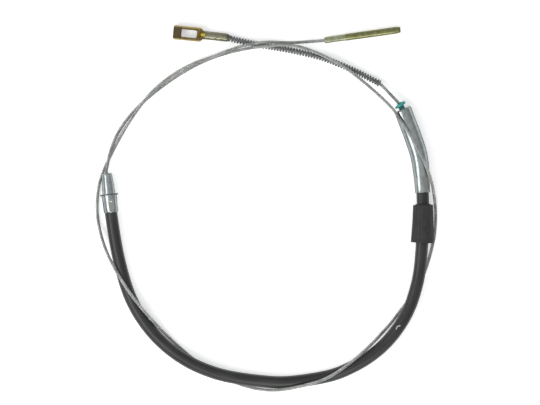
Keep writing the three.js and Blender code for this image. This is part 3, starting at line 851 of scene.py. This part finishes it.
def makeSpring():
    count = spring["turns"] * spring["steps"]
    t = np.linspace(0, 1, count + 1)
    last = spring["turns"]
    turns = t * last
    # the last coil at each end is closed
    tight, wide, shut = spring["closedPitch"], spring["openPitch"], spring["closedTurns"]
    pitch = np.interp(turns, [0, shut, 1.4, last - 1.4, last - shut, last],
                      [tight, tight, wide, wide, tight, tight])
    z = np.concatenate([[0], np.cumsum((pitch[1:] + pitch[:-1]) / 2)])
    z = z / z[-1] * spring["length"]
    mean = (spring["diameter"] - spring["wire"]) / 2
    angle = turns * 2 * math.pi
    centre = np.stack([mean * np.cos(angle), mean * np.sin(angle), z], 1)
    outward = np.stack([np.cos(angle), np.sin(angle), 0 * z], 1)
    head = np.gradient(centre, axis=0)
    head /= np.linalg.norm(head, axis=1)[:, None]
    third = np.cross(head, outward)
    around = np.arange(spring["sides"]) * 2 * math.pi / spring["sides"]
    wire = spring["wire"] / 2
    points = (centre[:, None] + outward[:, None] * (wire * np.cos(around))[None, :, None]
              + third[:, None] * (wire * np.sin(around))[None, :, None])
    faces = tubeFaces(count + 1, spring["sides"])
    return makePiece("wound_return_spring", points.reshape(-1, 3), faces, spring["station"],
                     springSteel, sharp=60)


returnSpring = makeSpring()
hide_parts("return_spring")
print("spring made")


eye = {
    "station": 1713.1, "loop": 20.5, "width": 10.6, "thickness": 6, "corner": 1.3,
    "slotLength": 11.5, "slotWidth": 5.7, "endWeb": 6.2, "neck": 2.2, "shoulder": 0.4,
    "shank": 21, "shankDiameter": 6.2, "mouth": 5.6, "mouthTaper": 2.2,
    "windowLength": 3.6, "windowWidth": 2.3, "windowDepth": 1.3, "voxel": 0.17,
    "pressMarks": (6.5, 11.5), "pressDepth": 0.22, "socket": 2.5,
}


def outlineOf(corners, count):
    # a closed outline of (x, y, rounding) corners, with points at even steps
    points = np.array(softened(corners, arc=8))
    loop = np.vstack([points, points[:1]])
    steps = np.concatenate([[0], np.cumsum(np.linalg.norm(np.diff(loop, axis=0), axis=1))])
    spots = np.linspace(0, steps[-1], count, endpoint=False)
    return np.stack([np.interp(spots, steps, loop[:, k]) for k in range(2)], 1)


def slabOf(outer, thickness):
    # a flat solid of that outline, x across and z along, as thick as y
    n = len(outer)
    points = [(x, side * thickness / 2, z) for side in (1, -1) for x, z in outer]
    faces = [tuple(range(n)), tuple(range(2 * n - 1, n - 1, -1))]
    faces += [(k, k + n, (k + 1) % n + n, (k + 1) % n) for k in range(n)]
    return points, faces


def meshObject(name, points, faces):
    made = bpy.data.objects.new(name, makeMesh(name, points, faces))
    bpy.context.scene.collection.objects.link(made)
    return made


def makeEye():
    half, neck = eye["width"] / 2, eye["shankDiameter"] / 2
    start, end = eye["shank"], eye["shank"] + eye["loop"]
    body = meshObject("eyeBody", *slabOf(outlineOf([
        (-neck, start - eye["neck"], 1.5), (neck, start - eye["neck"], 1.5),
        (half, start, eye["shoulder"]), (half, end, eye["corner"]),
        (-half, end, eye["corner"]), (-half, start, eye["shoulder"])], 120), eye["thickness"]))
    slotEnd = end - eye["endWeb"]
    slotHalf = eye["slotWidth"] / 2
    slotStart = slotEnd - eye["slotLength"]
    slot = meshObject("eyeSlot", *slabOf(outlineOf([
        (-slotHalf, slotStart, 0.9), (slotHalf, slotStart, 0.9), (slotHalf, slotEnd, 0.6),
        (-slotHalf, slotEnd, 0.6)], 80), eye["thickness"] * 2))
    shank = meshObject("eyeShank", *revolve(ringed(softened([
        (1.5, 0, 0), (eye["mouth"] / 2, 0, 0.4), (neck, eye["mouthTaper"], 0.6), (neck, start + 1, 0)],
        closed=False), 1, closed=False), 48, closed=False))
    cut = body.modifiers.new("slot", "BOOLEAN")
    cut.operation, cut.object, cut.solver = "DIFFERENCE", slot, "EXACT"
    join = body.modifiers.new("shank", "BOOLEAN")
    join.operation, join.object, join.solver = "UNION", shank, "EXACT"
    fine = body.modifiers.new("fine", "REMESH")
    fine.mode, fine.voxel_size = "VOXEL", eye["voxel"]
    soft = body.modifiers.new("soft", "SMOOTH")
    soft.factor, soft.iterations = 0.5, 4
    bpy.context.view_layer.update()
    shaped = body.evaluated_get(bpy.context.evaluated_depsgraph_get())
    solid = bpy.data.meshes.new_from_object(shaped)
    points = np.zeros(len(solid.vertices) * 3)
    solid.vertices.foreach_get("co", points)
    points = points.reshape(-1, 3)
    faces = [tuple(f.vertices) for f in solid.polygons]
    for thing in (body, slot, shank):
        bpy.data.objects.remove(thing)
    x, y, z = points.T
    # a recess on top, where the shank was pressed through, and the hole that the rope goes into
    side, foot = eye["windowWidth"] / 2, start - eye["windowLength"]
    inWindow = ((1 - smoothStep(side - 0.15, side + 0.2, np.abs(x)))
                * smoothStep(foot - 0.2, foot + 0.3, z)
                * (1 - smoothStep(start - 0.3, start + 0.2, z)) * (y > 1))
    y -= eye["windowDepth"] * inWindow
    inSocket = 1 - smoothStep(1.25, 1.55, np.hypot(x, y))
    z += eye["socket"] * inSocket * (z < 0.3)
    # two shallow press marks across the shank
    for middle in eye["pressMarks"]:
        dent = np.exp(-((z - middle) / 1.3) ** 2) * eye["pressDepth"]
        y -= np.sign(y) * dent * smoothStep(1.2, 2.6, np.abs(y)) * (np.abs(x) < neck + 0.1)
    return makePiece("slotted_eye", np.stack([x, y, z], 1), faces, eye["station"], eyeChromate,
                     sharp=60, extra={"recess": inWindow})


slottedEye = makeEye()
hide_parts("eye_end")
print("eye", len(slottedEye.data.polygons), "faces")


def makeFloor():
    # lies just under the part; its glow reaches only the camera and reflections
    reach, drop = 6, 0.0001
    corners = [(-reach, -reach, 0), (reach, -reach, 0), (reach, reach, 0), (-reach, reach, 0)]
    mesh = bpy.data.meshes.new("floor")
    mesh.from_pydata(corners, [], [(0, 1, 2, 3)])
    floor = bpy.data.objects.new("floor", mesh)
    bpy.context.scene.collection.objects.link(floor)
    floor.location.z = -drop
    f = Finish("paleFloor", Metallic=0.0, Roughness=0.9, Specular_IOR_Level=0.0,
               Emission_Strength=1.0)
    f.colour((*studio["floorColour"], 1))
    camera, glossy = (f.add("ShaderNodeLightPath", output=f"Is {ray} Ray")
                      for ray in ("Camera", "Glossy"))
    glow = (*[studio["floorGlow"]] * 3, 1)
    f.feed(f.shader.inputs["Emission Color"], f.mix(camera + glossy, (0, 0, 0, 1), glow))
    mesh.materials.append(f.material)


def makeSky():
    world = bpy.data.worlds.new("studio")
    bpy.context.scene.world = world
    world.use_nodes = True
    sky = Nodes(world.node_tree)
    height = sky.axisParts(sky.add("ShaderNodeTexCoord", output="Generated"))[2]
    stops = ((0.0, (*studio["skyLow"], 1)), (1.0, (*studio["skyHigh"], 1)))
    ramp = sky.add("ShaderNodeValToRGB", {"stops": stops}, {0: height})
    sky.feed(sky.tree.nodes["Background"].inputs["Color"], ramp)


def makeLamp(name, place, size, energy):
    lamp = bpy.data.objects.new(name, bpy.data.lights.new(name, "AREA"))
    bpy.context.scene.collection.objects.link(lamp)
    lamp.data.shape = "RECTANGLE"
    lamp.data.size, lamp.data.size_y = size
    lamp.data.energy = energy
    lamp.location = place
    lamp.rotation_mode = "QUATERNION"
    lamp.rotation_quaternion = (-Vector(place)).to_track_quat("-Z", "Y")


makeFloor()
makeSky()
for lampName, lampLook in studio["lamps"].items():
    makeLamp(lampName, **lampLook)
print("studio made")
